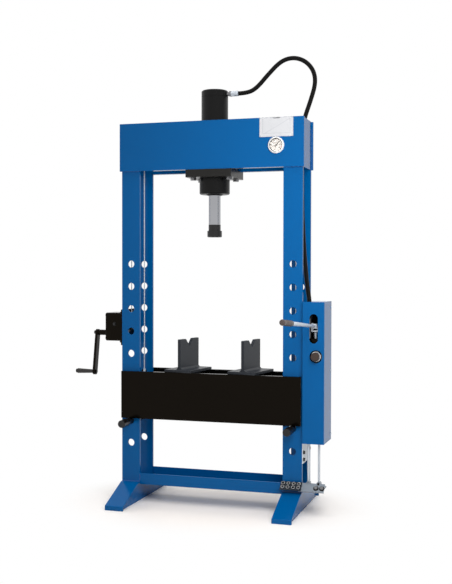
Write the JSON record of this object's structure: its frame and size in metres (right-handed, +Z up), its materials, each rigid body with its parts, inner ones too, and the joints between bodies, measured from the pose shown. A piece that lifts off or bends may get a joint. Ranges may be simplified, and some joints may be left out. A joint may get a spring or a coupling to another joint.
{
  "type": "hydraulic press",
  "caption": "Workshop hydraulic press: drilled column frame, cylinder sliding in the head, winch-lifted table on cross pins with V-blocks, and a side pump worked by lever or pedal.",
  "frame": {"origin": "On the floor, midway between the columns and between the front and rear posts", "axes": "+X runs to the pump side, -Y is the front, +Z is up"},
  "size_m": [1.1773, 0.9375, 1.962],
  "materials": {
    "blue_paint": "gloss paint",
    "black_paint": "satin paint",
    "black_gloss": "gloss paint",
    "chrome": "polished hard chrome",
    "zinc": "bright zinc plate",
    "dark_iron": "oiled dark steel",
    "slate_paint": "satin grey paint",
    "bezel_metal": "bright plated metal",
    "machined_steel": "machined steel",
    "wire_rope": "stranded wire",
    "hose_rubber": "smooth rubber",
    "grip_plastic": "moulded plastic",
    "knob_plastic": "moulded plastic",
    "dial_face": "printed dial",
    "needle_black": "painted pointer",
    "clear_glass": "clear",
    "chart_white": "satin white"
  },
  "bodies": {
    "frame": {"left_front_post": "blue_paint", "left_rear_post": "blue_paint", "right_front_post": "blue_paint", "right_rear_post": "blue_paint", "left_foot": "blue_paint", "right_foot": "blue_paint", "base_channel": "blue_paint", "head_front_plate": "blue_paint", "head_rear_plate": "blue_paint", "head_end_plates": "blue_paint", "sheave_axles": "machined_steel", "winch_plate": "black_paint", "winch_housing": "black_paint", "pump_bracket": "zinc", "pump_cover": "blue_paint", "pump_block": "black_paint", "oil_tank": "black_paint", "pivot_pins": "zinc", "pump_outlet": "machined_steel", "hanger_rod": "zinc", "hydraulic_hose": "hose_rubber", "lift_ropes": "wire_rope", "rope_drops": "wire_rope", "gauge_case": "bezel_metal", "gauge_dial": "dial_face", "gauge_glass": "clear_glass", "chart_plate": "chart_white"},
    "carriage": {"cylinder_barrel": "black_gloss", "cylinder_cap": "black_gloss", "cylinder_gland": "black_gloss", "carriage_lower_plate": "slate_paint", "carriage_upper_plate": "black_paint", "carriage_bolts": "dark_iron", "hose_adapter": "zinc", "hose_ferrule": "zinc"},
    "ram": {"ram_rod": "chrome", "ram_piston": "machined_steel", "ram_nose": "dark_iron"},
    "table": {"table_front_plate": "black_paint", "table_rear_plate": "black_paint", "table_spacers": "black_paint"},
    "left_v": {"left_v_block": "slate_paint"},
    "right_v": {"right_v_block": "slate_paint"},
    "drum": {"rope_drum": "dark_iron"},
    "crank": {"crank_shaft": "black_paint", "crank_arm": "black_paint"},
    "crank_handle": {"crank_grip": "grip_plastic"},
    "left_sheave_pair": {"left_sheaves": "dark_iron"},
    "right_sheave_wheel": {"right_sheave": "dark_iron"},
    "left_pin": {"left_table_pin": "dark_iron"},
    "right_pin": {"right_table_pin": "dark_iron"},
    "lever": {"pump_lever": "zinc", "lever_grip": "grip_plastic"},
    "plunger": {"hand_plunger": "machined_steel"},
    "pedal": {"pedal_arm": "zinc", "pedal_tread": "zinc"},
    "pull": {"pull_rod": "zinc"},
    "knob": {"release_knob": "knob_plastic"},
    "needle": {"gauge_needle": "needle_black"}
  },
  "joints": [
    {"name": "carriage_slide", "type": "slide", "parent": "frame", "child": "carriage", "axis": [1, 0, 0], "range_m": [-0.2, 0.2], "deforming": ["hydraulic_hose"]},
    {"name": "ram_stroke", "type": "slide", "parent": "carriage", "child": "ram", "axis": [0, 0, -1], "range_m": [-0.125, 0.04]},
    {"name": "table_lift", "type": "slide", "parent": "frame", "child": "table", "axis": [0, 0, 1], "range_m": [0, 0.3], "deforming": ["rope_drops"]},
    {"name": "left_v_block_slide", "type": "slide", "parent": "table", "child": "left_v", "axis": [1, 0, 0], "range_m": [-0.09, 0.05]},
    {"name": "right_v_block_slide", "type": "slide", "parent": "table", "child": "right_v", "axis": [1, 0, 0], "range_m": [-0.05, 0.075]},
    {"name": "drum_turn", "type": "hinge", "parent": "frame", "child": "drum", "pos_m": [-0.39, 0.028, 0.79617], "axis": [1, 0, 0], "range_deg": [0, 620]},
    {"name": "crank_turn", "type": "hinge", "parent": "frame", "child": "crank", "pos_m": [-0.5, 0, 0.75], "axis": [1, 0, 0], "range_deg": [-1240, 0]},
    {"name": "crank_grip_spin", "type": "hinge", "parent": "crank", "child": "crank_handle", "pos_m": [-0.62, -0.03126, 0.57273], "axis": [1, 0, 0], "continuous": true},
    {"name": "left_sheave_turn", "type": "hinge", "parent": "frame", "child": "left_sheave_pair", "pos_m": [-0.37125, 0, 1.6], "axis": [0, 1, 0], "range_deg": [-560, 0]},
    {"name": "right_sheave_turn", "type": "hinge", "parent": "frame", "child": "right_sheave_wheel", "pos_m": [0.319, 0.064, 1.6], "axis": [0, 1, 0], "range_deg": [-560, 0]},
    {"name": "left_pin_pull", "type": "slide", "parent": "frame", "child": "left_pin", "axis": [0, -1, 0], "range_m": [0, 0.3]},
    {"name": "right_pin_pull", "type": "slide", "parent": "frame", "child": "right_pin", "axis": [0, -1, 0], "range_m": [0, 0.3]},
    {"name": "pump_lever_swing", "type": "hinge", "parent": "frame", "child": "lever", "pos_m": [0.466, -0.004, 0.795], "axis": [1, 0, 0], "range_deg": [-16, 24]},
    {"name": "hand_plunger_stroke", "type": "slide", "parent": "frame", "child": "plunger", "axis": [0, 0, 1], "range_m": [-0.025, 0.017]},
    {"name": "foot_pedal_press", "type": "hinge", "parent": "frame", "child": "pedal", "pos_m": [0.4855, -0.075, 0.133], "axis": [0, -1, 0], "range_deg": [0, 7], "stiffness_Nm_per_rad": 8, "springref_deg": -14.32},
    {"name": "pull_rod_stroke", "type": "slide", "parent": "frame", "child": "pull", "axis": [0, 0, 1], "range_m": [-0.0075, 0.001]},
    {"name": "release_knob_turn", "type": "hinge", "parent": "frame", "child": "knob", "pos_m": [0.476, -0.118, 0.674], "axis": [0, 1, 0], "range_deg": [0, 180]},
    {"name": "gauge_needle_turn", "type": "hinge", "parent": "frame", "child": "needle", "pos_m": [0.3, -0.1, 1.568], "axis": [0, 1, 0], "range_deg": [-177, 93]}
  ],
  "couplings": [
    {"joint": "drum_turn", "follows": "table_lift", "rad_per_m": 35.714},
    {"joint": "crank_turn", "follows": "table_lift", "rad_per_m": -71.429},
    {"joint": "left_sheave_turn", "follows": "table_lift", "rad_per_m": -32},
    {"joint": "right_sheave_turn", "follows": "table_lift", "rad_per_m": -32},
    {"joint": "hand_plunger_stroke", "follows": "pump_lever_swing", "m_per_rad": -0.0568},
    {"joint": "pull_rod_stroke", "follows": "foot_pedal_press", "m_per_rad": -0.0455}
  ]
}
